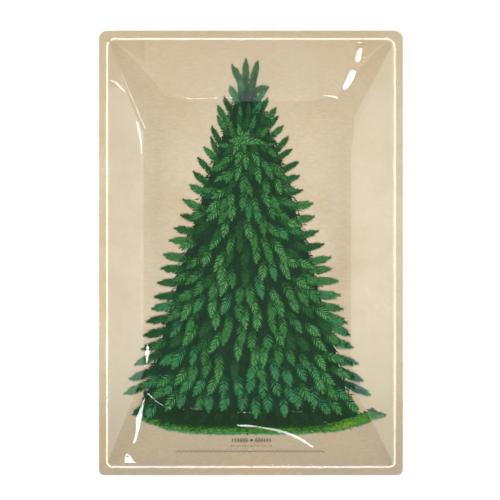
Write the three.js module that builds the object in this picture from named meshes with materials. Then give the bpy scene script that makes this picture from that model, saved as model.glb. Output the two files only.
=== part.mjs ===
// A shallow serving tray of clear bent glass, with a printed sheet bonded under it and a felt pad below.
// Millimetres, +Z up. +Y points to the top of the printed picture, and the origin is on the surface
// that the tray stands on, under the middle of its outline.
import * as THREE from 'three';

// Outline of the tray
const TRAY_LENGTH = 406.4;
const TRAY_WIDTH = 278;
const BACK_CORNER_RADIUS = 8;
const FRONT_CORNER_RADIUS = 5.5;

// Bands of the tray, measured inwards from its outline
const LIP_WIDTH = 6.2;
const STEP_WIDTH = 2.6;
const SIDE_WALL_WIDTH = 37.6;
const END_WALL_WIDTH = 58.9;
const BASE_CORNER_RADIUS = 42;

// Heights and thicknesses
const GLASS_THICKNESS = 5;
const PAPER_THICKNESS = 0.5;
const PAD_THICKNESS = 1.5;
const LAYER_GAP = 0.3;
const WALL_RISE = 14.5;
const STEP_RISE = 2.15;

// Bends of the glass, as the length taken from the flat on each side of the bend
const EDGE_ROUNDING = 1;
const LIP_BEND = 0.8;
const STEP_BEND = 0.8;
const BASE_BEND = 7;

// How far the soft layers stay inside the glass
const PAPER_MARGIN = 0.3;
const PAD_MARGIN = 8;

// Fineness of the faceted solids
const CORNER_STEPS = 10;
const BEND_STEPS = 4;

const PAPER_UNDERSIDE = PAD_THICKNESS + LAYER_GAP;
const GLASS_UNDERSIDE = PAPER_UNDERSIDE + PAPER_THICKNESS + LAYER_GAP;
const STEP_INSET = LIP_WIDTH + STEP_WIDTH;
const BASE_INSET = STEP_INSET + SIDE_WALL_WIDTH;

const glassMaterial = new THREE.MeshStandardMaterial({
  color: 0xdfeae4, roughness: 0.05, metalness: 0, transparent: true, opacity: 0.35,
});
const paperMaterial = new THREE.MeshStandardMaterial({ color: 0xdccaa9, roughness: 0.8, metalness: 0 });
const feltMaterial = new THREE.MeshStandardMaterial({ color: 0x2f4a38, roughness: 1, metalness: 0 });

// A closed loop of points round a rectangle with round corners, anticlockwise seen from above.
// The back corners (+Y) and the front corners (-Y) have a radius each.
function roundedRectangle(halfX, halfY, backRadius, frontRadius) {
  const corners = [
    { signX: 1, signY: 1, radius: backRadius, start: 0 },
    { signX: -1, signY: 1, radius: backRadius, start: 90 },
    { signX: -1, signY: -1, radius: frontRadius, start: 180 },
    { signX: 1, signY: -1, radius: frontRadius, start: 270 },
  ];
  return corners.flatMap(({ signX, signY, radius, start }) => {
    const centreX = signX * (halfX - radius);
    const centreY = signY * (halfY - radius);
    return Array.from({ length: CORNER_STEPS + 1 }, (_, step) => {
      const angle = THREE.MathUtils.degToRad(start + (90 * step) / CORNER_STEPS);
      return new THREE.Vector2(centreX + radius * Math.cos(angle), centreY + radius * Math.sin(angle));
    });
  });
}

// The radius of a contour's corner at an inset. Corners are concentric over the step, so that its slope
// is the same all round, and open out over the wall to the base's radius.
function cornerRadius(outlineRadius, inset, wallShare) {
  const stepOuterRadius = outlineRadius + STEP_WIDTH / 2;
  if (inset < LIP_WIDTH) {
    return THREE.MathUtils.lerp(outlineRadius, stepOuterRadius, inset / LIP_WIDTH);
  }
  if (inset < STEP_INSET) {
    return stepOuterRadius - (inset - LIP_WIDTH);
  }
  return THREE.MathUtils.lerp(stepOuterRadius - STEP_WIDTH, BASE_CORNER_RADIUS, wallShare);
}

// The tray's contour at a distance inside its outline, taken across a side wall. Over the wall the
// contours draw in further at the ends than at the sides.
function contour(inset) {
  const wallShare = THREE.MathUtils.clamp((inset - STEP_INSET) / SIDE_WALL_WIDTH, 0, 1);
  const halfX = TRAY_WIDTH / 2 - inset;
  const halfY = TRAY_LENGTH / 2 - inset - wallShare * (END_WALL_WIDTH - SIDE_WALL_WIDTH);
  const backRadius = cornerRadius(BACK_CORNER_RADIUS, inset, wallShare);
  const frontRadius = cornerRadius(FRONT_CORNER_RADIUS, inset, wallShare);
  return roundedRectangle(halfX, halfY, backRadius, frontRadius);
}

// A profile through corner points, each a [inset, height] pair, with a smooth bend at every inner one.
function bentProfile(points, bends) {
  const corners = points.map(([inset, height]) => new THREE.Vector2(inset, height));
  const path = new THREE.Path();
  path.moveTo(corners[0].x, corners[0].y);
  for (let i = 1; i < corners.length - 1; i += 1) {
    const before = corners[i - 1].clone().sub(corners[i]).setLength(bends[i - 1]).add(corners[i]);
    const after = corners[i + 1].clone().sub(corners[i]).setLength(bends[i - 1]).add(corners[i]);
    path.lineTo(before.x, before.y);
    path.quadraticCurveTo(corners[i].x, corners[i].y, after.x, after.y);
  }
  const last = corners[corners.length - 1];
  path.lineTo(last.x, last.y);
  return path.getPoints(BEND_STEPS);
}

// One face of the bent dish, from a starting inset on the lip to a ring on the flat base, with the
// flat base at the given height.
function dishProfile(startInset, baseHeight) {
  const stepFoot = baseHeight + WALL_RISE;
  const lipHeight = stepFoot + STEP_RISE;
  const points = [
    [startInset, lipHeight],
    [LIP_WIDTH, lipHeight],
    [STEP_INSET, stepFoot],
    [BASE_INSET, baseHeight],
    [BASE_INSET + 2 * BASE_BEND, baseHeight],
  ];
  return bentProfile(points, [LIP_BEND, STEP_BEND, BASE_BEND]);
}

// The rounded rim of the glass, from the underside of the lip up to its top, without its two ends.
function rimProfile(lipTop) {
  const lipUnderside = lipTop - GLASS_THICKNESS;
  const path = new THREE.Path();
  path.moveTo(EDGE_ROUNDING, lipUnderside);
  path.quadraticCurveTo(0, lipUnderside, 0, lipUnderside + EDGE_ROUNDING);
  path.lineTo(0, lipTop - EDGE_ROUNDING);
  path.quadraticCurveTo(0, lipTop, EDGE_ROUNDING, lipTop);
  return path.getPoints(BEND_STEPS).slice(1, -1);
}

// The triangles that fill a ring of points at one height, facing up. firstIndex is the ring's first
// vertex in the body.
function fillRing(ring, firstIndex) {
  const outline = ring.map((point) => new THREE.Vector2(point.x, point.y));
  return THREE.ShapeUtils.triangulateShape(outline, [])
    .map((triangle) => triangle.map((index) => index + firstIndex));
}

// A closed body from rings of points that run from the middle of its underside, out round its rim
// and back to the middle of its top. The first and last rings are filled in flat.
function bodyFromProfile(profile) {
  const rings = profile.map(({ x: inset, y: height }) =>
    contour(inset).map((point) => new THREE.Vector3(point.x, point.y, height)));
  const ringSize = rings[0].length;
  const lastRing = rings.length - 1;
  const triangles = [];
  for (let ring = 0; ring < lastRing; ring += 1) {
    const lower = ring * ringSize;
    const upper = lower + ringSize;
    for (let i = 0; i < ringSize; i += 1) {
      const next = (i + 1) % ringSize;
      triangles.push([lower + i, lower + next, upper + next]);
      triangles.push([lower + i, upper + next, upper + i]);
    }
  }
  const underside = fillRing(rings[0], 0).map((triangle) => triangle.reverse());
  const top = fillRing(rings[lastRing], lastRing * ringSize);
  const geometry = new THREE.BufferGeometry().setFromPoints(rings.flat());
  geometry.setIndex([...triangles, ...underside, ...top].flat());
  geometry.computeVertexNormals();
  return geometry;
}

function glassTray() {
  const servingFloor = GLASS_UNDERSIDE + GLASS_THICKNESS;
  const lipTop = servingFloor + WALL_RISE + STEP_RISE;
  const underside = dishProfile(EDGE_ROUNDING, GLASS_UNDERSIDE).reverse();
  const top = dishProfile(EDGE_ROUNDING, servingFloor);
  return bodyFromProfile([...underside, ...rimProfile(lipTop), ...top]);
}

function printSheet() {
  const underside = dishProfile(PAPER_MARGIN, PAPER_UNDERSIDE).reverse();
  const top = dishProfile(PAPER_MARGIN, PAPER_UNDERSIDE + PAPER_THICKNESS);
  return bodyFromProfile([...underside, ...top]);
}

function basePad() {
  const inset = BASE_INSET + PAD_MARGIN;
  const halfX = TRAY_WIDTH / 2 - inset;
  const halfY = TRAY_LENGTH / 2 - inset - (END_WALL_WIDTH - SIDE_WALL_WIDTH);
  const radius = BASE_CORNER_RADIUS - PAD_MARGIN;
  const outline = new THREE.Shape(roundedRectangle(halfX, halfY, radius, radius));
  return new THREE.ExtrudeGeometry(outline, { depth: PAD_THICKNESS, bevelEnabled: false });
}

function subPart(name, geometry, material) {
  const mesh = new THREE.Mesh(geometry, material);
  mesh.name = name;
  return mesh;
}

const tray = new THREE.Group();
tray.name = 'decoupage_glass_tray';
tray.add(
  subPart('glass_tray', glassTray(), glassMaterial),
  subPart('print_sheet', printSheet(), paperMaterial),
  subPart('base_pad', basePad(), feltMaterial),
);

export default tray;
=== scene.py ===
"""A decoupage glass serving tray: clear bent glass over a printed sheet of paper, on a felt pad.

The print is built as real strokes of ink between the paper and the glass. They are laid out in
millimetres on the tray's plan, with +Y to the top of the picture, and dropped onto the paper.
"""
import math

import bpy
import numpy as np
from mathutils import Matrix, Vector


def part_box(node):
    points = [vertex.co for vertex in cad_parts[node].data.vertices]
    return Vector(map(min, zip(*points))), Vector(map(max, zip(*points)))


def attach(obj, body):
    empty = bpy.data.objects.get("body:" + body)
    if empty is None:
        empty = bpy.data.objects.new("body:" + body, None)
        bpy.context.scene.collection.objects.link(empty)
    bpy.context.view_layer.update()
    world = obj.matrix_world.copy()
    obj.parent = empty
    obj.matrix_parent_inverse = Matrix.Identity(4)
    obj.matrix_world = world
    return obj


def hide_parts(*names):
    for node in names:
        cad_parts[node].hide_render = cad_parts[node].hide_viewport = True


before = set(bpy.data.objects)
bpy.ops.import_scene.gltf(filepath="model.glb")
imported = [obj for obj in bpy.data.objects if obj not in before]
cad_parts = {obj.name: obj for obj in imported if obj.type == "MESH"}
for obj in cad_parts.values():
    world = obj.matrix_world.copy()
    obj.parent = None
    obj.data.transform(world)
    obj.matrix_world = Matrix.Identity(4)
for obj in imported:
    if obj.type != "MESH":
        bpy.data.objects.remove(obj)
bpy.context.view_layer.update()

MM = 0.001
SEED = 1846

# ---------------------------------------------------------------- the dish, from the CAD's own sizes
glass_low, glass_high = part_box("glass_tray")
paper_low, paper_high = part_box("print_sheet")
pad_low, pad_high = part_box("base_pad")

TRAY_WIDTH = glass_high.x - glass_low.x
TRAY_LENGTH = glass_high.y - glass_low.y
GLASS_UNDERSIDE = glass_low.z
LIP_TOP = glass_high.z
PAPER_UNDERSIDE = paper_low.z
PAPER_MARGIN = (TRAY_WIDTH - (paper_high.x - paper_low.x)) / 2
PAD_THICKNESS = pad_high.z - pad_low.z

BACK_CORNER_RADIUS = 8 * MM
FRONT_CORNER_RADIUS = 5.5 * MM
LIP_WIDTH = 6.2 * MM
STEP_WIDTH = 2.6 * MM
SIDE_WALL_WIDTH = 37.6 * MM
END_WALL_WIDTH = 58.9 * MM
BASE_CORNER_RADIUS = 42 * MM
GLASS_THICKNESS = 5 * MM
STEP_RISE = 2.15 * MM
LIP_BEND = 0.8 * MM
STEP_BEND = 0.8 * MM
BASE_BEND = 7 * MM
EDGE_ROUNDING = 1 * MM

STEP_INSET = LIP_WIDTH + STEP_WIDTH
BASE_INSET = STEP_INSET + SIDE_WALL_WIDTH
FLAT_INSET = BASE_INSET + 2 * BASE_BEND
DISH_RISE = LIP_TOP - GLASS_THICKNESS - GLASS_UNDERSIDE
WALL_RISE = DISH_RISE - STEP_RISE


def contour_sizes(inset):
    """Half width, half length, back and front corner radius of the tray's contour at an inset."""
    wall_share = np.clip((inset - STEP_INSET) / SIDE_WALL_WIDTH, 0, 1)
    half_x = TRAY_WIDTH / 2 - inset
    half_y = TRAY_LENGTH / 2 - inset - wall_share * (END_WALL_WIDTH - SIDE_WALL_WIDTH)
    back = corner_radius(BACK_CORNER_RADIUS, inset)
    front = corner_radius(FRONT_CORNER_RADIUS, inset)
    return half_x, half_y, back, front


def corner_radius(outline_radius, inset):
    """Corners are concentric over the step and open out over the wall to the base's radius."""
    radii = [
        outline_radius,
        outline_radius + STEP_WIDTH / 2,
        outline_radius - STEP_WIDTH / 2,
        BASE_CORNER_RADIUS,
    ]
    return np.interp(inset, [0, LIP_WIDTH, STEP_INSET, BASE_INSET], radii)


def contour(inset, corner_steps, side_steps):
    """Points anticlockwise round one contour, from the back end of its right side. Sides are also cut
    close to each corner, so that smooth shading doesn't bleed into the flat walls."""
    half_x, half_y, back, front = contour_sizes(inset)
    corners = [(1, 1, back, 0), (-1, 1, back, 90), (-1, -1, front, 180), (1, -1, front, 270)]
    arcs = []
    for sign_x, sign_y, radius, start in corners:
        angle = np.radians(start + np.linspace(0, 90, corner_steps + 1))
        arcs.append(np.column_stack([
            sign_x * (half_x - radius) + radius * np.cos(angle),
            sign_y * (half_y - radius) + radius * np.sin(angle),
        ]))
    loop = []
    close_cut = 0.006
    even = np.linspace(0, 1, side_steps + 2)[1:-1]
    share = np.concatenate([[close_cut], even, [1 - close_cut]])[:, None]
    for index, arc in enumerate(arcs):
        following = arcs[(index + 1) % len(arcs)]
        loop.append(arc)
        loop.append(arc[-1] * (1 - share) + following[0] * share)
    return np.concatenate(loop)


def bent_profile(points, bends, bend_steps, straight_shares):
    """Points along a line of (inset, height) corners with a smooth bend at each inner corner. Each
    straight is cut at the given shares of its length."""
    corners = [np.array(point, float) for point in points]
    path = [corners[0]]
    for index, bend in enumerate(bends, start=1):
        corner = corners[index]
        back = corners[index - 1] - corner
        ahead = corners[index + 1] - corner
        start = corner + back / np.linalg.norm(back) * bend
        end = corner + ahead / np.linalg.norm(ahead) * bend
        path += cut_straight(path[-1], start, straight_shares)
        for t in np.linspace(0, 1, bend_steps + 1)[1:]:
            path.append((1 - t) ** 2 * start + 2 * t * (1 - t) * corner + t * t * end)
    path += cut_straight(path[-1], corners[-1], straight_shares)
    return np.array(path)


def cut_straight(start, end, shares):
    return [start * (1 - share) + end * share for share in shares] + [end]


def dish_profile(start_inset, base_height, bend_steps=10):
    """One face of the dish, from the lip in to the flat base. Straights are cut close to each bend,
    so that smooth shading doesn't bleed into them."""
    straight_shares = (0.03, 0.35, 0.65, 0.97)
    points = [
        (start_inset, base_height + DISH_RISE),
        (LIP_WIDTH, base_height + DISH_RISE),
        (STEP_INSET, base_height + WALL_RISE),
        (BASE_INSET, base_height),
        (FLAT_INSET, base_height),
    ]
    return bent_profile(points, [LIP_BEND, STEP_BEND, BASE_BEND], bend_steps, straight_shares)


def rim_profile():
    """The rounded edge of the glass, from its underside up to the lip, without its two ends."""
    steps = 8
    angle = np.radians(np.linspace(0, 90, steps + 1))
    lip_underside = LIP_TOP - GLASS_THICKNESS
    lower = np.column_stack([
        EDGE_ROUNDING * (1 - np.sin(angle)),
        lip_underside + EDGE_ROUNDING * (1 - np.cos(angle)),
    ])
    upper = np.column_stack([
        EDGE_ROUNDING * (1 - np.cos(angle)),
        LIP_TOP - EDGE_ROUNDING * (1 - np.sin(angle)),
    ])
    return np.concatenate([lower[1:], upper[:-1]])


def inset_at(x, y):
    """The inset of the contour through each point of the plan, found by halving."""
    low = np.zeros_like(x)
    high = np.full_like(x, FLAT_INSET)
    for _ in range(30):
        middle = (low + high) / 2
        half_x, half_y, back, front = contour_sizes(middle)
        radius = np.where(y > 0, back, front)
        over_x = np.abs(x) - (half_x - radius)
        over_y = np.abs(y) - (half_y - radius)
        corner = np.hypot(np.maximum(over_x, 0), np.maximum(over_y, 0))
        inside = corner + np.minimum(np.maximum(over_x, over_y), 0) < radius
        low = np.where(inside, middle, low)
        high = np.where(inside, high, middle)
    return (low + high) / 2


RISE_PROFILE = dish_profile(0, 0, bend_steps=40)


def dish_rise(x, y):
    """How far a face of the dish has risen above its flat base at each point of the plan."""
    return np.interp(inset_at(x, y), RISE_PROFILE[:, 0], RISE_PROFILE[:, 1])


# ------------------------------------------------------------------------------- materials
def new_material(name):
    material = bpy.data.materials.new(name)
    material.use_nodes = True
    material.node_tree.nodes.clear()
    output = material.node_tree.nodes.new("ShaderNodeOutputMaterial")
    return material, material.node_tree.nodes, material.node_tree.links, output


def linear(red, green, blue):
    """A colour as seen on a screen, 0 to 255, as the scene's linear colour."""
    levels = [level / 255 for level in (red, green, blue)]
    return [v / 12.92 if v <= 0.04045 else ((v + 0.055) / 1.055) ** 2.4 for v in levels]


def clear_glass_material():
    """Polished glass that bends what is seen through it and lets the lamps through to the paper."""
    material, nodes, links, output = new_material("clear_glass")
    glass = nodes.new("ShaderNodeBsdfPrincipled")
    glass.inputs["Base Color"].default_value = (0.985, 0.995, 0.985, 1)
    glass.inputs["Roughness"].default_value = 0.01
    glass.inputs["IOR"].default_value = 1.5
    glass.inputs["Transmission Weight"].default_value = 1
    path = nodes.new("ShaderNodeLightPath")
    open_air = nodes.new("ShaderNodeBsdfTransparent")
    open_air.inputs["Color"].default_value = (0.97, 0.985, 0.975, 1)
    for_lamps = nodes.new("ShaderNodeMixShader")
    for_bounces = nodes.new("ShaderNodeMixShader")
    links.new(path.outputs["Is Diffuse Ray"], for_bounces.inputs["Fac"])
    links.new(glass.outputs[0], for_bounces.inputs[1])
    links.new(open_air.outputs[0], for_bounces.inputs[2])
    links.new(path.outputs["Is Shadow Ray"], for_lamps.inputs["Fac"])
    links.new(for_bounces.outputs[0], for_lamps.inputs[1])
    links.new(open_air.outputs[0], for_lamps.inputs[2])
    links.new(for_lamps.outputs[0], output.inputs["Surface"])
    return material


def bonded_glass_material():
    """The glass's underside, which has no surface to be seen, because the paper is bonded to it."""
    material, nodes, links, output = new_material("bonded_glass")
    clear = nodes.new("ShaderNodeBsdfTransparent")
    clear.inputs["Color"].default_value = (1, 1, 1, 1)
    links.new(clear.outputs[0], output.inputs["Surface"])
    return material


def ramp(nodes, stops):
    node = nodes.new("ShaderNodeValToRGB")
    elements = node.color_ramp.elements
    for index, (position, colour) in enumerate(stops):
        element = elements[index] if index < 2 else elements.new(position)
        element.position = position
        element.color = (*colour, 1)
    return node


def noise(nodes, links, vector, scale, detail, roughness):
    node = nodes.new("ShaderNodeTexNoise")
    node.inputs["Scale"].default_value = scale
    node.inputs["Detail"].default_value = detail
    node.inputs["Roughness"].default_value = roughness
    links.new(vector, node.inputs["Vector"])
    return node


def mix_colour(nodes, links, factor, first, second, blend="MIX"):
    node = nodes.new("ShaderNodeMix")
    node.data_type = "RGBA"
    node.blend_type = blend
    for socket, value in ((node.inputs[0], factor), (node.inputs[6], first), (node.inputs[7], second)):
        if isinstance(value, bpy.types.NodeSocket):
            links.new(value, socket)
        else:
            socket.default_value = value if isinstance(value, float) else (*value, 1)
    return node.outputs[2]


# How much brighter inks and paper are seen, under the lamps and the glass, than their own colours
INK_LIGHT = 1.22
PAPER_LIGHT = np.array([1.09, 1.14, 1.09])
PAPER_BEND_STEPS = 14


def paper_material():
    """Cream paper: paler in the middle, darker and browner towards the ends, with mottling and fibres."""
    material, nodes, links, output = new_material("aged_paper")
    place = nodes.new("ShaderNodeTexCoord")
    split = nodes.new("ShaderNodeSeparateXYZ")
    links.new(place.outputs["Object"], split.inputs[0])
    along = nodes.new("ShaderNodeMapRange")
    along.inputs["From Min"].default_value = -TRAY_LENGTH / 2
    along.inputs["From Max"].default_value = TRAY_LENGTH / 2
    links.new(split.outputs["Y"], along.inputs["Value"])
    # The tone along the sheet: darker towards both ends, most of all at the front end.
    shade = ramp(nodes, [
        (0.0, paper_tone(181, 166, 141)),
        (1.0, paper_tone(205, 185, 150)),
        (0.10, paper_tone(187, 172, 144)),
        (0.20, paper_tone(205, 189, 158)),
        (0.36, paper_tone(219, 203, 172)),
        (0.72, paper_tone(217, 200, 169)),
        (0.86, paper_tone(211, 193, 161)),
    ])
    links.new(along.outputs[0], shade.inputs["Fac"])
    stains = noise(nodes, links, place.outputs["Object"], 17, 6, 0.62)
    stain_share = ramp(nodes, [(0.44, (0, 0, 0)), (0.72, (0.55, 0.55, 0.55))])
    links.new(stains.outputs["Fac"], stain_share.inputs["Fac"])
    stained = mix_colour(
        nodes, links, stain_share.outputs[0], shade.outputs[0], paper_tone(198, 172, 132))
    stretch = nodes.new("ShaderNodeMapping")
    stretch.inputs["Scale"].default_value = (0.4, 1, 1)
    links.new(place.outputs["Object"], stretch.inputs["Vector"])
    fibres = noise(nodes, links, stretch.outputs[0], 560, 5, 0.7)
    fibre_tone = ramp(nodes, [(0.3, (0.90, 0.89, 0.87)), (0.7, (1.07, 1.07, 1.07))])
    links.new(fibres.outputs["Fac"], fibre_tone.inputs["Fac"])
    fibred = mix_colour(nodes, links, 0.9, stained, fibre_tone.outputs[0], "MULTIPLY")
    paper = nodes.new("ShaderNodeBsdfPrincipled")
    paper.inputs["Roughness"].default_value = 0.85
    paper.inputs["Specular IOR Level"].default_value = 0.1
    links.new(fibred, paper.inputs["Base Color"])
    links.new(paper.outputs[0], output.inputs["Surface"])
    return material


def paper_tone(red, green, blue):
    """The paper's own colour, for a colour as it is seen through the glass under the lamps."""
    return tuple(np.array(linear(red, green, blue)) / PAPER_LIGHT)


def sealed_back_material():
    """The back of the sheet: brushed with a warm white sealer that dries in faint streaks."""
    material, nodes, links, output = new_material("sealed_back")
    place = nodes.new("ShaderNodeTexCoord")
    stretch = nodes.new("ShaderNodeMapping")
    stretch.inputs["Scale"].default_value = (1, 0.08, 1)
    stretch.inputs["Rotation"].default_value = (0, 0, 0.06)
    links.new(place.outputs["Object"], stretch.inputs["Vector"])
    strokes = noise(nodes, links, stretch.outputs[0], 420, 4, 0.65)
    tone = ramp(nodes, [(0.35, (0.56, 0.51, 0.42)), (0.65, (0.68, 0.64, 0.55))])
    links.new(strokes.outputs["Fac"], tone.inputs["Fac"])
    gloss = ramp(nodes, [(0.3, (0.42, 0.42, 0.42)), (0.7, (0.6, 0.6, 0.6))])
    links.new(strokes.outputs["Fac"], gloss.inputs["Fac"])
    bump = nodes.new("ShaderNodeBump")
    bump.inputs["Strength"].default_value = 0.35
    bump.inputs["Distance"].default_value = 0.15 * MM
    links.new(strokes.outputs["Fac"], bump.inputs["Height"])
    sealer = nodes.new("ShaderNodeBsdfPrincipled")
    links.new(tone.outputs[0], sealer.inputs["Base Color"])
    links.new(gloss.outputs[0], sealer.inputs["Roughness"])
    links.new(bump.outputs[0], sealer.inputs["Normal"])
    links.new(sealer.outputs[0], output.inputs["Surface"])
    return material


def felt_material():
    """Pressed wool felt: a fine matted surface with paler fibres and soft sheen."""
    material, nodes, links, output = new_material("pressed_felt")
    place = nodes.new("ShaderNodeTexCoord")
    matting = noise(nodes, links, place.outputs["Object"], 1400, 4, 0.7)
    patches = noise(nodes, links, place.outputs["Object"], 60, 3, 0.5)
    tone = ramp(nodes, [(0.32, (0.022, 0.048, 0.030)), (0.70, (0.060, 0.120, 0.078))])
    links.new(matting.outputs["Fac"], tone.inputs["Fac"])
    patch_tone = ramp(nodes, [(0.3, (0.86, 0.86, 0.86)), (0.7, (1.1, 1.1, 1.1))])
    links.new(patches.outputs["Fac"], patch_tone.inputs["Fac"])
    colour = mix_colour(nodes, links, 1.0, tone.outputs[0], patch_tone.outputs[0], "MULTIPLY")
    bump = nodes.new("ShaderNodeBump")
    bump.inputs["Strength"].default_value = 0.7
    bump.inputs["Distance"].default_value = 0.3 * MM
    links.new(matting.outputs["Fac"], bump.inputs["Height"])
    felt = nodes.new("ShaderNodeBsdfPrincipled")
    felt.inputs["Roughness"].default_value = 0.95
    felt.inputs["Sheen Weight"].default_value = 0.35
    felt.inputs["Specular IOR Level"].default_value = 0.15
    links.new(colour, felt.inputs["Base Color"])
    links.new(bump.outputs[0], felt.inputs["Normal"])
    links.new(felt.outputs[0], output.inputs["Surface"])
    return material


def ink_material(name, colour):
    material, nodes, links, output = new_material(name)
    ink = nodes.new("ShaderNodeBsdfPrincipled")
    ink.inputs["Base Color"].default_value = (*[level / INK_LIGHT for level in linear(*colour)], 1)
    ink.inputs["Roughness"].default_value = 0.8
    ink.inputs["Specular IOR Level"].default_value = 0.1
    links.new(ink.outputs[0], output.inputs["Surface"])
    return material


# ------------------------------------------------------------------------------- bodies
def mesh_piece(name, points, faces, materials, face_slots=None, smooth=True):
    mesh = bpy.data.meshes.new(name)
    mesh.from_pydata([tuple(point) for point in points], [], [tuple(face) for face in faces])
    for material in materials:
        mesh.materials.append(material)
    if face_slots is not None:
        mesh.polygons.foreach_set("material_index", np.asarray(face_slots, np.int32))
    mesh.polygons.foreach_set("use_smooth", np.full(len(mesh.polygons), smooth))
    mesh.update()
    piece = bpy.data.objects.new(name, mesh)
    bpy.context.scene.collection.objects.link(piece)
    return piece


def ring_body(name, profile, materials, slot_of_ring, corner_steps=28, side_steps=10):
    """A closed body from a profile of (inset, height) that runs from the middle of the underside,
    out round the rim and back over the top. slot_of_ring gives each ring of faces its material."""
    fill_shares = [0.94, 0.8, 0.6, 0.4, 0.2, 0.07]
    first_loop = contour(profile[0][0], corner_steps, side_steps)
    last_loop = contour(profile[-1][0], corner_steps, side_steps)
    rings = [(first_loop * share, profile[0][1]) for share in reversed(fill_shares)]
    rings += [(contour(inset, corner_steps, side_steps), height) for inset, height in profile]
    rings += [(last_loop * share, profile[-1][1]) for share in fill_shares]
    size = len(first_loop)
    points = np.concatenate([
        np.column_stack([loop, np.full(size, height)]) for loop, height in rings])
    faces = []
    slots = []
    step = np.arange(size)
    following = (step + 1) % size
    for ring in range(len(rings) - 1):
        lower = ring * size
        upper = lower + size
        faces.append(np.column_stack([lower + step, lower + following, upper + following, upper + step]))
        slots += [slot_of_ring(ring - len(fill_shares))] * size
    faces = [tuple(face) for face in np.concatenate(faces)]
    centres = [(0, 0, profile[0][1]), (0, 0, profile[-1][1])]
    points = np.concatenate([points, centres])
    bottom_centre = len(points) - 2
    top_centre = len(points) - 1
    last = (len(rings) - 1) * size
    for i in range(size):
        after = (i + 1) % size
        faces.append((bottom_centre, after, i))
        faces.append((top_centre, last + i, last + after))
        slots += [slot_of_ring(-1), slot_of_ring(len(profile))]
    return mesh_piece(name, points, faces, materials, slots)


def glass_piece():
    underside = dish_profile(EDGE_ROUNDING, GLASS_UNDERSIDE)[::-1]
    top = dish_profile(EDGE_ROUNDING, GLASS_UNDERSIDE + GLASS_THICKNESS)
    rim = rim_profile()
    profile = np.concatenate([underside, rim, top])
    materials = [clear_glass_material(), bonded_glass_material()]
    return ring_body(
        "bent_glass", profile, materials, lambda ring: 1 if ring < len(underside) - 1 else 0)


def paper_piece():
    thickness = paper_thickness()
    underside = dish_profile(PAPER_MARGIN, PAPER_UNDERSIDE, PAPER_BEND_STEPS)[::-1]
    top = dish_profile(PAPER_MARGIN, PAPER_UNDERSIDE + thickness, PAPER_BEND_STEPS)
    profile = np.concatenate([underside, top])
    materials = [paper_material(), sealed_back_material()]
    return ring_body(
        "printed_sheet", profile, materials, lambda ring: 1 if ring < len(underside) - 1 else 0)


def paper_thickness():
    """The CAD sheet's thickness, from the height of its lip over its flat underside."""
    return paper_high.z - paper_low.z - DISH_RISE


def felt_piece():
    """The pad, with its pressed edge rounded over and its faces very slightly uneven."""
    inset = (TRAY_WIDTH - (pad_high.x - pad_low.x)) / 2
    edge = PAD_THICKNESS * 0.4
    angle = np.radians(np.linspace(0, 90, 5))
    lower = np.column_stack([inset + edge * (1 - np.sin(angle)), pad_low.z + edge * (1 - np.cos(angle))])
    upper = np.column_stack([inset + edge * (1 - np.cos(angle)), pad_high.z - edge * (1 - np.sin(angle))])
    profile = np.concatenate([lower, upper])
    return ring_body(
        "felt_base", profile, [felt_material()], lambda ring: 0, corner_steps=16, side_steps=6)


# ------------------------------------------------------------------------------- the print
INK_GAP = GLASS_UNDERSIDE - PAPER_UNDERSIDE - paper_thickness()
INK_FLOOR = 0.035 * MM
INK_CEILING = INK_GAP - 0.02 * MM

TONES = {
    "shadow_blue": (28, 52, 41),
    "shadow_green": (29, 56, 34),
    "shadow_brown": (38, 52, 38),
    "deep_green": (33, 68, 38),
    "dark_green": (38, 80, 43),
    "dull_green": (46, 92, 50),
    "mid_green": (53, 106, 56),
    "fresh_green": (70, 128, 70),
    "light_green": (88, 152, 87),
    "pale_green": (118, 176, 112),
    "dark_teal": (32, 74, 48),
    "teal_green": (48, 112, 68),
    "light_teal": (76, 144, 94),
    "earth_green": (27, 50, 24),
    "grass_green": (44, 98, 30),
    "grass_leaf": (74, 130, 48),
    "grass_yellow": (128, 152, 40),
    "grass_teal": (66, 142, 92),
    "caption_ink": (62, 50, 36),
}


class Print:
    """Strokes of ink by tone. A stroke is a four-sided outline on the plan, in millimetres, with a
    share of the ink's room at each corner: 0 lies on the paper and 1 is just under the glass."""

    def __init__(self):
        self.outlines = {tone: [] for tone in TONES}
        self.lifts = {tone: [] for tone in TONES}

    def add(self, tone, outlines, lifts):
        outlines = np.asarray(outlines, float).reshape(-1, 4, 2)
        self.outlines[tone].append(outlines)
        self.lifts[tone].append(np.broadcast_to(lifts, outlines.shape[:2]))

    def pieces(self):
        for tone, colour in TONES.items():
            plan = np.concatenate(self.outlines[tone]).reshape(-1, 2) * MM
            lift = np.clip(np.concatenate(self.lifts[tone]).reshape(-1), 0, 1)
            height = PAPER_UNDERSIDE + paper_thickness() + dish_rise(plan[:, 0], plan[:, 1])
            height = height + INK_FLOOR + lift * (INK_CEILING - INK_FLOOR)
            points = np.column_stack([plan, height])
            faces = np.arange(len(points)).reshape(-1, 4)
            material = ink_material("ink_" + tone, colour)
            yield mesh_piece("ink_" + tone, points, faces, [material], smooth=False)


def turned(angle):
    """Unit vectors at angles in radians, anticlockwise from +X, as an array of (x, y)."""
    return np.stack([np.cos(angle), np.sin(angle)], -1)


def needles(start, angle, length, width, widest=0.45):
    """Slim kites from their starts along their angles."""
    ahead = turned(angle)
    side = np.stack([-ahead[..., 1], ahead[..., 0]], -1)
    length = np.asarray(length)[..., None]
    width = np.asarray(width)[..., None]
    middle = start + ahead * length * widest
    tip = start + ahead * length
    return np.stack([start, middle - side * width / 2, tip, middle + side * width / 2], -2)


# The tree's place on the plan, in millimetres
TREE_AXIS = -3.5
TREE_TOP = 178.0
TREE_FOOT = -146.0
TREE_HALF_WIDTH = 116.0
CROWN_FULLNESS = 0.79


def crown_share(y):
    """How far down the crown a height is: 0 at its tip and 1 at its foot."""
    return (TREE_TOP - y) / (TREE_TOP - TREE_FOOT)


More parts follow.
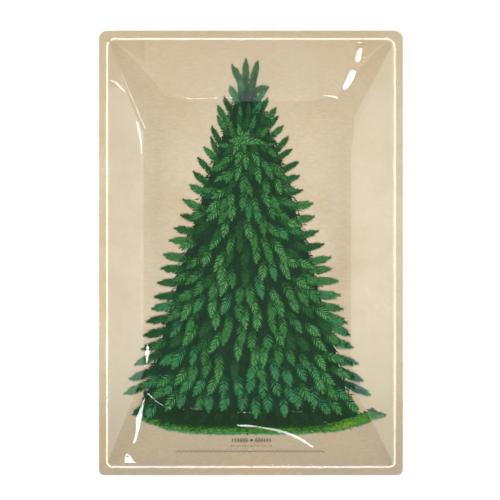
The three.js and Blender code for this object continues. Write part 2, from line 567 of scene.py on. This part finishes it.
def crown_half_width(share):
    return TREE_HALF_WIDTH * np.clip(share, 0, 1.2) ** CROWN_FULLNESS


def edge_lean(share, side):
    """The outward lean, in degrees from straight down, of the sprays at the crown's edge."""
    if side < 0:
        shares = [0, 0.2, 0.26, 0.34, 0.45, 0.6, 0.8, 1]
        leans = [160, 150, 134, 120, 98, 90, 74, 62]
    else:
        shares = [0, 0.1, 0.2, 0.28, 0.34, 0.4, 0.5, 0.6, 0.72, 0.95, 1]
        leans = [155, 144, 136, 120, 100, 96, 110, 92, 70, 62, 48]
    return np.interp(share, shares, leans)


def spray_lean(x, y):
    """The lean, in degrees from straight down, of a spray inside the crown. Left is negative."""
    share = crown_share(y)
    across = np.clip((x - TREE_AXIS) / crown_half_width(share), -1, 1)
    side = -1 if across < 0 else 1
    lean = edge_lean(share, side) * abs(across) ** 1.5
    upward = 180 - (180 - edge_lean(share, side)) * abs(across) ** 0.7
    rising = np.clip((0.26 - share) / 0.07, 0, 1)
    return side * ((1 - rising) * lean + rising * upward)


def spray_size(share):
    length = np.interp(share, [0, 0.2, 0.4, 0.7, 1], [15, 16.5, 19.5, 23, 22])
    width = np.interp(share, [0, 0.2, 0.4, 0.7, 1], [6.4, 7.4, 9.0, 10.6, 10.6])
    return length, width


# The tones of a spray: its shade, its body, its needles, its lit needles and their brightest few
SPRAY_COLOURS = {
    "far": ["shadow_blue", "shadow_green", "deep_green", "deep_green", "dark_green"],
    "dim": ["shadow_green", "deep_green", "dark_green", "dull_green", "mid_green"],
    "plain": ["shadow_green", "deep_green", "mid_green", "fresh_green", "light_green"],
    "fresh": ["shadow_green", "dark_green", "mid_green", "light_green", "pale_green"],
    "edge": ["shadow_green", "deep_green", "dark_green", "mid_green", "fresh_green"],
    "teal": ["shadow_blue", "dark_teal", "teal_green", "light_teal", "light_green"],
}


def fullness(u):
    """A spray's half width along it, as a share of its greatest."""
    rise = np.minimum(1, (np.clip(u, 0, 1) / 0.42) ** 0.7)
    taper = 1 - 0.78 * np.clip((u - 0.5) / 0.5, 0, 1) ** 2.4
    return rise * taper


class Spray:
    """One twig tip of needles, which ends at tip and points along angle in radians. Its foot lies low
    and its tip high, so that tips cover the feet of the sprays beyond them, like shingles."""

    def __init__(self, picture, rng, tip, angle, length, width, bend, height):
        self.picture = picture
        self.rng = rng
        self.tip = np.asarray(tip, float)
        self.angle = angle
        self.length = length
        self.width = width
        self.bend = bend
        self.height = height
        self.ahead = turned(angle)
        self.side = np.array([-self.ahead[1], self.ahead[0]])

    def axis(self, u):
        u = np.asarray(u)[..., None]
        curve = self.bend * self.length * (u * u - 1)
        return self.tip + self.ahead * self.length * (u - 1) + self.side * curve

    def lift(self, u, layer):
        low, high = self.height
        return low + (high - low) * np.clip(u, 0, 1) + 0.02 * layer

    def blade(self, tone, scale, start, stop, layer):
        """A leaf-shaped patch along the twig from one share of its length to another."""
        ragged = 0.14
        u = np.linspace(start, stop, 9)
        half = fullness(u) * self.width / 2 * scale
        if stop < 1:
            half = half * np.sqrt(np.clip((stop - u) / (stop - start) * 3, 0, 1))
        left = self.axis(u) + self.side * (half * (1 + self.rng.uniform(-ragged, ragged, 9)))[:, None]
        right = self.axis(u) - self.side * (half * (1 + self.rng.uniform(-ragged, ragged, 9)))[:, None]
        levels = self.lift(u, layer)
        outlines = np.stack([right[:-1], right[1:], left[1:], left[:-1]], 1)
        self.picture.add(tone, outlines, np.stack([levels[:-1], levels[1:], levels[1:], levels[:-1]], 1))

    def fringe(self, tone, pitch, start, stop, layer, reach, thickness, drop=0.06):
        """Needles on both sides of the twig, from one share of its length to another, slanting
        towards its tip. A share of them is dropped at random."""
        spread = 46
        for hand in (-1, 1):
            count = max(2, int(self.length * (stop - start) / pitch))
            u = np.linspace(start, stop, count) + self.rng.uniform(-0.3, 0.3, count) * pitch / self.length
            u = u[self.rng.random(count) >= drop]
            open_out = np.radians(spread * (1.1 - 0.45 * u)) * self.rng.uniform(0.88, 1.12, len(u))
            span = fullness(u + 0.14) * self.width / 2 * reach * self.rng.uniform(0.86, 1.12, len(u))
            long = np.minimum(span / np.sin(np.maximum(open_out, 0.3)), self.width * 0.72)
            heading = self.angle + np.arctan(2 * self.bend * u)
            outlines = needles(self.axis(u), heading + hand * open_out, long,
                               thickness * self.rng.uniform(0.85, 1.2, len(u)))
            low = self.lift(u, layer)
            high = self.lift(u + 0.2, layer)
            middle = (low + high) / 2
            self.picture.add(tone, outlines, np.stack([low, middle, high, middle], 1))

    def tuft(self, tone, count, layer, thickness):
        """The needles that point on past the end of the twig."""
        angle = self.angle + np.radians(self.rng.uniform(-26, 26, count))
        aside = self.rng.uniform(-0.1, 0.1, (count, 1)) * self.width
        foot = self.axis(np.full(count, 0.8)) + self.side * aside
        long = self.length * self.rng.uniform(0.17, 0.24, count)
        outlines = needles(foot, angle, long, np.full(count, thickness))
        self.picture.add(tone, outlines, self.lift(1.0, layer))


def draw_spray(spray, colours):
    """A lit spray: its shade, its body, and rows of needles that get brighter towards its tip."""
    shade, body, plain, light, shine = SPRAY_COLOURS[colours]
    spray.blade(shade, 0.62, 0.0, 1.0, 0)
    spray.fringe(shade, 1.9, 0.0, 0.98, 1, 1.24, 1.05)
    spray.blade(body, 0.36, 0.12, 0.98, 2)
    spray.fringe(body, 1.9, 0.06, 0.98, 3, 1.14, 0.8)
    spray.fringe(plain, 2.0, 0.14, 0.98, 4, 1.10, 0.85)
    spray.blade(plain, 0.26, 0.50, 0.98, 5)
    spray.tuft(plain, 4, 5, 0.8)
    spray.fringe(light, 2.1, 0.32, 0.98, 6, 0.98, 0.8, drop=0.08)
    spray.tuft(light, 3, 6, 0.7)
    spray.fringe(shine, 2.2, 0.46, 0.96, 7, 0.84, 0.65, drop=0.2)


def draw_far_spray(spray):
    """A spray in the shade between the lit ones."""
    shade, body, plain, _, shine = SPRAY_COLOURS["far"]
    spray.blade(body, 0.7, 0.1, 0.98, 0)
    spray.fringe(shade, 2.2, 0.05, 0.98, 1, 1.1, 0.8)
    spray.fringe(plain, 2.2, 0.2, 0.98, 2, 1.0, 0.7, drop=0.2)
    spray.fringe(shine, 2.6, 0.5, 0.98, 3, 0.9, 0.55, drop=0.5)


def down_angle(lean):
    """The angle from +X, in radians, of a spray that leans this many degrees out from straight down."""
    return np.radians(-90 + lean)


def column_edges(start, end, count):
    """The two edges of each of a number of equal columns."""
    edges = np.linspace(start, end, count + 1)
    return zip(edges[:-1], edges[1:])


def draw_crown_shade(picture, rng):
    """The deep shade behind the sprays: a solid patch, roughened with short dark strokes."""
    y = np.linspace(TREE_FOOT - 6, TREE_TOP - 24, 120)
    half = np.maximum(crown_half_width(crown_share(y)) * 0.90 - 9, 2.5)
    for west, east in column_edges(-1, 1, 60):
        low_left = np.column_stack([TREE_AXIS + half * west, y])
        low_right = np.column_stack([TREE_AXIS + half * east, y])
        outlines = np.stack([low_left[:-1], low_right[:-1], low_right[1:], low_left[1:]], 1)
        picture.add("shadow_blue", outlines, 0.0)
    tones = ["shadow_blue", "shadow_green", "shadow_brown", "deep_green"]
    count = 9000
    y = rng.uniform(TREE_FOOT - 5, TREE_TOP - 20, count * 2)
    y = y[rng.random(len(y)) < crown_half_width(crown_share(y)) / TREE_HALF_WIDTH][:count]
    half = np.maximum(crown_half_width(crown_share(y)) * 0.92 - 8, 3)
    x = TREE_AXIS + half * rng.uniform(-1, 1, len(y))
    lean = np.radians(-90 + 50 * (x - TREE_AXIS) / half + rng.uniform(-40, 40, len(y)))
    length = rng.uniform(3.5, 6.5, len(y))
    width = rng.uniform(0.8, 1.5, len(y))
    outlines = needles(np.column_stack([x, y]), lean, length, width)
    choice = rng.choice(len(tones), len(y), p=[0.2, 0.36, 0.22, 0.22])
    level = rng.uniform(0.03, 0.10, len(y))
    for index, tone in enumerate(tones):
        chosen = choice == index
        picture.add(tone, outlines[chosen], level[chosen, None])


def draw_edge_sprays(picture, rng):
    """The sprays that make the crown's outline, with the paper showing between them."""
    for side in (-1, 1):
        y = TREE_TOP - 27.0
        while y > TREE_FOOT + 6:
            share = crown_share(y)
            length, width = spray_size(share)
            foot = np.clip((share - 0.95) / 0.05, 0, 1)
            reach = crown_half_width(share) + rng.uniform(-2.5, 3.5) - 9 * foot
            lean = edge_lean(share, side) + rng.uniform(-6, 6)
            colours = rng.choice(["edge", "plain", "teal", "dim"], p=[0.42, 0.26, 0.20, 0.12])
            spray = Spray(picture, rng, (TREE_AXIS + side * reach, y), down_angle(side * lean),
                          length * rng.uniform(1.25, 1.45), width * rng.uniform(0.90, 1.06),
                          side * rng.uniform(0.0, 0.10), (0.08, 0.42))
            draw_spray(spray, colours)
            y -= np.interp(share, [0.1, 0.3, 1], [8.5, 12.0, 13.5]) * rng.uniform(0.85, 1.15)


def draw_inner_sprays(picture, rng):
    """Staggered rows of lit sprays over the face of the crown, with shaded ones between them."""
    y = TREE_FOOT - 1.0
    row = 0
    while y < TREE_TOP - 34:
        share = crown_share(y)
        length, width = spray_size(share)
        half = crown_half_width(share) - length * 0.62
        across = width * 1.28
        count = max(1, int(round(2 * half / across)))
        for column in range(2 * count + 2):
            x = TREE_AXIS - half + (column / 2 + (row % 2) / 4) * 2 * half / count
            if x > TREE_AXIS + half + 1:
                continue
            far = (column + row) % 2 == 1
            x += rng.uniform(-0.2, 0.2) * across
            tip_y = y + rng.uniform(-0.22, 0.22) * length - (0.4 * length if far else 0)
            lean = float(spray_lean(x, tip_y)) + rng.normal(0, 8)
            size = rng.uniform(0.82, 1.12)
            lift = rng.uniform(-0.03, 0.03)
            if far:
                bend = rng.uniform(-0.08, 0.08)
                draw_far_spray(Spray(picture, rng, (x, tip_y), down_angle(lean), length * size,
                                     width * 0.9, bend, (0.10 + lift, 0.44 + lift)))
                continue
            teal = 0.08 + 0.34 * np.clip((share - 0.82) / 0.18, 0, 1)
            rest = 1 - teal
            dim = 0.34 - 0.24 * share
            colours = rng.choice(["dim", "plain", "fresh", "teal"],
                                 p=[dim * rest, 0.42 * rest, (0.58 - dim) * rest, teal])
            draw_spray(Spray(picture, rng, (x, tip_y), down_angle(lean), length * size,
                             width * rng.uniform(0.85, 1.06), rng.uniform(-0.09, 0.09),
                             (0.16 + lift, 0.76 + lift)), colours)
        y += length * 0.66
        row += 1


def draw_leader(picture, rng):
    """The upright tips at the very top of the crown. Each has its tip on the plan, lean and length."""
    shoots = [
        (-17.0, 172.5, -153, 28, "edge"),
        (6.4, 175.5, 164, 28, "edge"),
        (-4.6, 178.0, 179, 31, "edge"),
        (15.5, 152.5, 104, 17, "edge"),
        (-18.5, 152.5, -154, 16, "teal"),
        (-10.0, 158.0, -168, 14, "teal"),
        (2.0, 158.0, 172, 14, "edge"),
    ]
    for x, y, lean, length, colours in shoots:
        draw_spray(Spray(picture, rng, (x, y), down_angle(lean), length, 8.2, 0.0, (0.1, 0.6)), colours)


def draw_ground(picture, rng):
    """The dark ground under the tree, with a ragged fringe of grass below it."""
    centre_x = 10.5
    half = 110.0
    top = -142.0
    bottom = -166.0

    def lower_edge(x):
        across = np.clip((x - centre_x) / half, -1, 1)
        end_level = np.where(across < 0, -151.0, -148.0)
        steepness = np.where(across < 0, 5.0, 3.6)
        return bottom + (end_level - bottom) * np.abs(across) ** steepness

    def end_taper(x):
        return np.clip((1 - np.abs(x - centre_x) / half) / 0.09, 0.12, 1)

    x = np.linspace(centre_x - half + 3, centre_x + half - 22, 90)
    upper = np.full(len(x), top)
    lower = lower_edge(x) + 5.5 + rng.uniform(-0.6, 0.6, len(x))
    outlines = np.stack([
        np.column_stack([x[:-1], lower[:-1]]),
        np.column_stack([x[1:], lower[1:]]),
        np.column_stack([x[1:], upper[1:]]),
        np.column_stack([x[:-1], upper[:-1]]),
    ], 1)
    picture.add("earth_green", outlines, 0.05)
    # Each band of blades has its tone and count, its range above the lower edge, its blades' lengths
    # and its lift.
    bands = [
        ("grass_green", 2600, (0.5, 8.0), (2.4, 5), 0.08),
        ("earth_green", 1500, (3.0, 11.0), (3, 6), 0.12),
        ("shadow_green", 700, (3.0, 12.0), (3, 6), 0.15),
        ("grass_green", 900, (0.6, 6.0), (2.2, 4.5), 0.19),
        ("grass_leaf", 420, (0.4, 4.5), (2, 4), 0.23),
        ("grass_yellow", 40, (0.6, 4.0), (2, 4.0), 0.27),
        ("grass_teal", 420, (-0.6, 1.4), (1.6, 4.0), 0.24),
    ]
    for tone, count, band, lengths, level in bands:
        x = centre_x + half * rng.uniform(-1, 1, count)
        y = lower_edge(x) + end_taper(x) * rng.uniform(*band, count)
        draw_grass(picture, rng, tone, x, y, lengths, level)
    x = centre_x + half * rng.triangular(0.45, 0.80, 1.0, 420)
    y = lower_edge(x) + end_taper(x) * rng.uniform(1, 9, 420)
    draw_grass(picture, rng, "grass_leaf", x, y, (2, 4.5), 0.3)
    x = rng.normal(88, 9, 70)
    draw_grass(picture, rng, "grass_yellow", x, lower_edge(x) + rng.uniform(1.5, 5, 70), (1.5, 3.5), 0.34)


def draw_grass(picture, rng, tone, x, y, lengths, level):
    """Blades that lean outwards and down from the middle of the ground."""
    leftwards = x + rng.normal(0, 22, len(x)) < 10
    lean = np.where(leftwards, 200, -20) + rng.normal(0, 17, len(x))
    outlines = needles(np.column_stack([x, y]), np.radians(lean), rng.uniform(*lengths, len(x)),
                       rng.uniform(0.55, 1.1, len(x)))
    picture.add(tone, outlines, level + rng.uniform(0, 0.03, (len(x), 1)))


def draw_caption(picture):
    """A small printer's ornament in place of a caption: a sprig, a row of beads and a leafy rule."""
    centre = 0.5
    sprig_y = -172.2
    for side in (-1, 1):
        forward = 0.0 if side > 0 else math.pi
        for step in range(6):
            foot = np.array([centre + side * (3.0 + step * 2.7), sprig_y])
            for hand in (-1, 1):
                angle = forward + side * hand * math.radians(42)
                picture.add("caption_ink", needles(foot, np.array(angle), 4.0 - step * 0.3, 1.05), 0.1)
        stem_foot = np.array([centre + side * 1.6, sprig_y])
        stem = needles(stem_foot, np.array(forward), 18.6, 0.6, widest=0.2)
        picture.add("caption_ink", stem, 0.14)
    bead(picture, centre, sprig_y, 1.5)
    beads_y = -177.4
    for step in range(-9, 10):
        bead(picture, centre + step * 2.0, beads_y, 0.5 if step % 3 else 0.75)
    rule_centre = centre - 1.5
    rule_y = -182.2
    leaf_pitch = 2.2
    rule_half = 69.5
    corners = [(-rule_half, -0.1), (rule_half, -0.1), (rule_half, 0.1), (-rule_half, 0.1)]
    picture.add("caption_ink", [[(rule_centre + x, rule_y + y) for x, y in corners]], 0.08)
    for step in range(int(rule_half / leaf_pitch)):
        for side in (-1, 1):
            foot = np.array([rule_centre + side * step * leaf_pitch, rule_y])
            hand = 1 if step % 2 else -1
            forward = 0.0 if side > 0 else math.pi
            angle = forward + side * hand * math.radians(38)
            picture.add("caption_ink", needles(foot, np.array(angle), 2.1, 0.7), 0.12)


def bead(picture, x, y, radius):
    corners = [(x - radius, y), (x, y - radius), (x + radius, y), (x, y + radius)]
    picture.add("caption_ink", [corners], 0.12)


def draw_picture():
    rng = np.random.default_rng(SEED)
    picture = Print()
    draw_crown_shade(picture, rng)
    draw_ground(picture, rng)
    draw_edge_sprays(picture, rng)
    draw_leader(picture, rng)
    draw_inner_sprays(picture, rng)
    draw_caption(picture)
    return picture


# ------------------------------------------------------------------------------- the studio
# The camera's place, and the width that it takes in at the height of the lip
CAMERA = np.array([-0.8 * MM, 2.7 * MM, 2.6])
FRAME_WIDTH = 456.75 * MM
SENSOR_WIDTH = 36.0


def add_camera():
    data = bpy.data.cameras.new("camera")
    data.sensor_width = SENSOR_WIDTH
    data.lens = SENSOR_WIDTH * (CAMERA[2] - LIP_TOP) / FRAME_WIDTH
    data.clip_end = 50
    camera = bpy.data.objects.new("camera", data)
    camera.location = CAMERA
    bpy.context.scene.collection.objects.link(camera)
    bpy.context.scene.camera = camera


def add_softbox(name, low, high, height, radiance, colour):
    """A flat lamp that faces down, over a rectangle of the plan and at a height, in metres."""
    data = bpy.data.lights.new(name, "AREA")
    data.shape = "RECTANGLE"
    data.size = high[0] - low[0]
    data.size_y = high[1] - low[1]
    data.energy = radiance * math.pi * data.size * data.size_y
    data.color = colour
    lamp = bpy.data.objects.new(name, data)
    lamp.location = ((low[0] + high[0]) / 2, (low[1] + high[1]) / 2, height)
    lamp.visible_camera = False
    bpy.context.scene.collection.objects.link(lamp)


def glass_height(x, y):
    return GLASS_UNDERSIDE + GLASS_THICKNESS + dish_rise(x, y)


def mirrored_to(x, y, height):
    """Where the main view, mirrored in the glass at points of the plan, meets a level above it."""
    reach = 0.25 * MM
    slope_x = (glass_height(x + reach, y) - glass_height(x - reach, y)) / (2 * reach)
    slope_y = (glass_height(x, y + reach) - glass_height(x, y - reach)) / (2 * reach)
    normal = np.column_stack([-slope_x, -slope_y, np.ones_like(x)])
    normal /= np.linalg.norm(normal, axis=1)[:, None]
    point = np.column_stack([x, y, glass_height(x, y)])
    ray = point - CAMERA
    ray /= np.linalg.norm(ray, axis=1)[:, None]
    ray -= 2 * np.sum(ray * normal, axis=1)[:, None] * normal
    return point + ray * ((height - point[:, 2]) / ray[:, 2])[:, None]


STREAK_RADIANCE = 20.0
STREAK_LAMP_HEIGHT = 10.0

# Bright strip lamps far above the tray, by the streak that each makes on the glass: (x, y, width) along
# it, in millimetres.
STREAKS = {
    "back_right_tip": [(100.4, 187.5, 2.4), (99.4, 183.0, 3.8), (98.2, 177.8, 4.8), (97.6, 175.4, 3.0)],
    "back_right_blob": [(94.2, 167.4, 5.2), (91.2, 160.0, 5.6), (88.0, 154.0, 5.0), (85.4, 150.6, 2.4)],
    "back_left_arc": [(-128.5, 158.0, 0.8), (-122.8, 155.0, 1.0), (-116.0, 148.6, 0.9)],
    "back_left_line": [
        (-104.4, 120.6, 1.3), (-102.4, 110.0, 1.6), (-100.8, 101.0, 1.3), (-100.0, 91.7, 0.7),
    ],
    "left_blob": [(-95.0, -84.5, 0.8), (-95.0, -89.0, 3.2), (-95.3, -94.5, 3.0), (-95.6, -99.5, 1.2)],
    "left_streak": [
        (-98.0, -134.0, 0.9), (-100.2, -142.5, 2.2), (-102.6, -152.5, 5.0), (-104.0, -163.0, 2.6),
        (-106.8, -174.0, 1.8),
    ],
    "left_foot": [
        (-111.4, -184.8, 4.8), (-112.4, -186.8, 5.4), (-114.0, -190.2, 3.2), (-114.8, -192.2, 0.8),
    ],
    "front_streak": [
        (-13.5, -158.5, 0.6), (-5.0, -158.5, 1.9), (7.0, -159.8, 0.7), (24.0, -162.7, 1.5),
        (42.0, -168.7, 1.8), (57.5, -178.4, 0.6),
    ],
}


def smooth_line(controls):
    """A smooth curve through rows of controls, with the mean slope of both sides at each of them."""
    steps_each = 6
    controls = np.array(controls)
    slopes = np.gradient(controls, axis=0)
    line = []
    for first, second, slope_in, slope_out in zip(controls, controls[1:], slopes, slopes[1:]):
        t = np.linspace(0, 1, steps_each + 1)[:-1, None]
        line.append(
            (2 * t ** 3 - 3 * t ** 2 + 1) * first + (t ** 3 - 2 * t ** 2 + t) * slope_in
            + (3 * t ** 2 - 2 * t ** 3) * second + (t ** 3 - t ** 2) * slope_out)
    return np.concatenate(line + [controls[-1:]])


def add_streak_lamp(name, controls, material):
    """A strip lamp with the outline that the main view sees mirrored as the streak."""
    line = smooth_line(controls)
    heading = np.gradient(line[:, :2], axis=0)
    heading /= np.linalg.norm(heading, axis=1)[:, None]
    side = np.column_stack([-heading[:, 1], heading[:, 0]])
    half = np.maximum(line[:, 2:], 0.3) / 2
    edges = [(line[:, :2] + side * half * share) * MM for share in (-1, 0, 1)]
    rows = [mirrored_to(edge[:, 0], edge[:, 1], STREAK_LAMP_HEIGHT) for edge in edges]
    count = len(line)
    points = np.concatenate(rows)
    faces = []
    for row in range(len(rows) - 1):
        for i in range(count - 1):
            first = row * count + i
            faces.append((first, first + 1, first + count + 1, first + count))
    lamp = mesh_piece(name, points, faces, [material], smooth=False)
    lamp.visible_camera = False
    lamp.visible_shadow = False


def add_lights():
    """Three soft lamps for the broad pale reflections, and the strip lamps."""
    add_softbox(
        "front_softbox", low=(-0.169, -1.30), high=(0.168, -0.366), height=1.781,
        radiance=1.15, colour=(0.92, 1.0, 0.98))
    add_softbox(
        "right_softbox", low=(0.811, -0.90), high=(1.50, 0.240), height=1.192,
        radiance=1.9, colour=(0.84, 1.0, 1.12))
    add_softbox(
        "left_softbox", low=(-2.20, -1.30), high=(-0.604, 0.634), height=2.155,
        radiance=1.7, colour=(0.75, 1.0, 1.1))
    material, nodes, links, output = new_material("lamp_face")
    face = nodes.new("ShaderNodeEmission")
    face.inputs["Strength"].default_value = STREAK_RADIANCE
    links.new(face.outputs[0], output.inputs["Surface"])
    for name, controls in STREAKS.items():
        add_streak_lamp(name, controls, material)


def zenith_share(degrees):
    """The upward part of a direction this many degrees from straight up."""
    return math.cos(math.radians(degrees))


def add_world():
    """A dim room with bands of light low down all round, and a white backdrop for the camera."""
    world = bpy.data.worlds.new("studio")
    bpy.context.scene.world = world
    world.use_nodes = True
    nodes = world.node_tree.nodes
    links = world.node_tree.links
    nodes.clear()
    place = nodes.new("ShaderNodeTexCoord")
    split = nodes.new("ShaderNodeSeparateXYZ")
    links.new(place.outputs["Generated"], split.inputs[0])
    room = (0.004,) * 3
    fill = (0.14,) * 3
    rim_light = (1.0, 0.99, 0.96)
    band = ramp(nodes, [
        (0.0, room),
        (1.0, room),
        (zenith_share(79), room),
        (zenith_share(78), rim_light),
        (zenith_share(72.5), rim_light),
        (zenith_share(71.5), room),
        (zenith_share(62), room),
        (zenith_share(60), fill),
        (zenith_share(50), fill),
        (zenith_share(48.5), room),
    ])
    links.new(split.outputs["Z"], band.inputs["Fac"])
    # A gap in the bands towards one corner keeps them out of the base in low views from behind.
    towards_gap = nodes.new("ShaderNodeVectorMath")
    towards_gap.operation = "DOT_PRODUCT"
    towards_gap.inputs[1].default_value = (math.sqrt(0.5), -math.sqrt(0.5), 0)
    links.new(place.outputs["Generated"], towards_gap.inputs[0])
    kept = (1,) * 3
    dimmed = (0.06,) * 3
    gap = ramp(nodes, [(0.0, kept), (0.938, kept), (0.95, dimmed), (1.0, dimmed)])
    links.new(towards_gap.outputs["Value"], gap.inputs["Fac"])
    gapped_band = nodes.new("ShaderNodeVectorMath")
    gapped_band.operation = "MULTIPLY"
    links.new(band.outputs[0], gapped_band.inputs[0])
    links.new(gap.outputs[0], gapped_band.inputs[1])
    lit_room = nodes.new("ShaderNodeBackground")
    lit_room.inputs["Strength"].default_value = 12.0
    links.new(gapped_band.outputs["Vector"], lit_room.inputs["Color"])
    backdrop = nodes.new("ShaderNodeBackground")
    backdrop.inputs["Color"].default_value = (1, 1, 1, 1)
    path = nodes.new("ShaderNodeLightPath")
    choose = nodes.new("ShaderNodeMixShader")
    output = nodes.new("ShaderNodeOutputWorld")
    links.new(path.outputs["Is Camera Ray"], choose.inputs["Fac"])
    links.new(lit_room.outputs[0], choose.inputs[1])
    links.new(backdrop.outputs[0], choose.inputs[2])
    links.new(choose.outputs[0], output.inputs["Surface"])


def add_floor():
    """A pale floor that glows a little, so that it meets the white backdrop without an edge."""
    mesh = bpy.data.meshes.new("floor")
    reach = 4.0
    mesh.from_pydata(
        [(-reach, -reach, 0), (reach, -reach, 0), (reach, reach, 0), (-reach, reach, 0)],
        [], [(0, 1, 2, 3)])
    material, nodes, links, output = new_material("floor_white")
    paint = nodes.new("ShaderNodeBsdfPrincipled")
    paint.inputs["Base Color"].default_value = (0.3, 0.3, 0.3, 1)
    paint.inputs["Roughness"].default_value = 1.0
    paint.inputs["Specular IOR Level"].default_value = 0.0
    paint.inputs["Emission Color"].default_value = (1, 1, 1, 1)
    paint.inputs["Emission Strength"].default_value = 0.75
    links.new(paint.outputs[0], output.inputs["Surface"])
    mesh.materials.append(material)
    floor = bpy.data.objects.new("floor", mesh)
    floor.location.z = -0.2 * MM
    bpy.context.scene.collection.objects.link(floor)


add_camera()
bpy.context.scene.view_settings.view_transform = "Standard"

glass = glass_piece()
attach(glass, "root")
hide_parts("glass_tray")

sheet = paper_piece()
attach(sheet, "root")
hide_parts("print_sheet")

felt = felt_piece()
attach(felt, "root")
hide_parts("base_pad")

for ink in draw_picture().pieces():
    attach(ink, "root")

add_lights()
add_world()
add_floor()
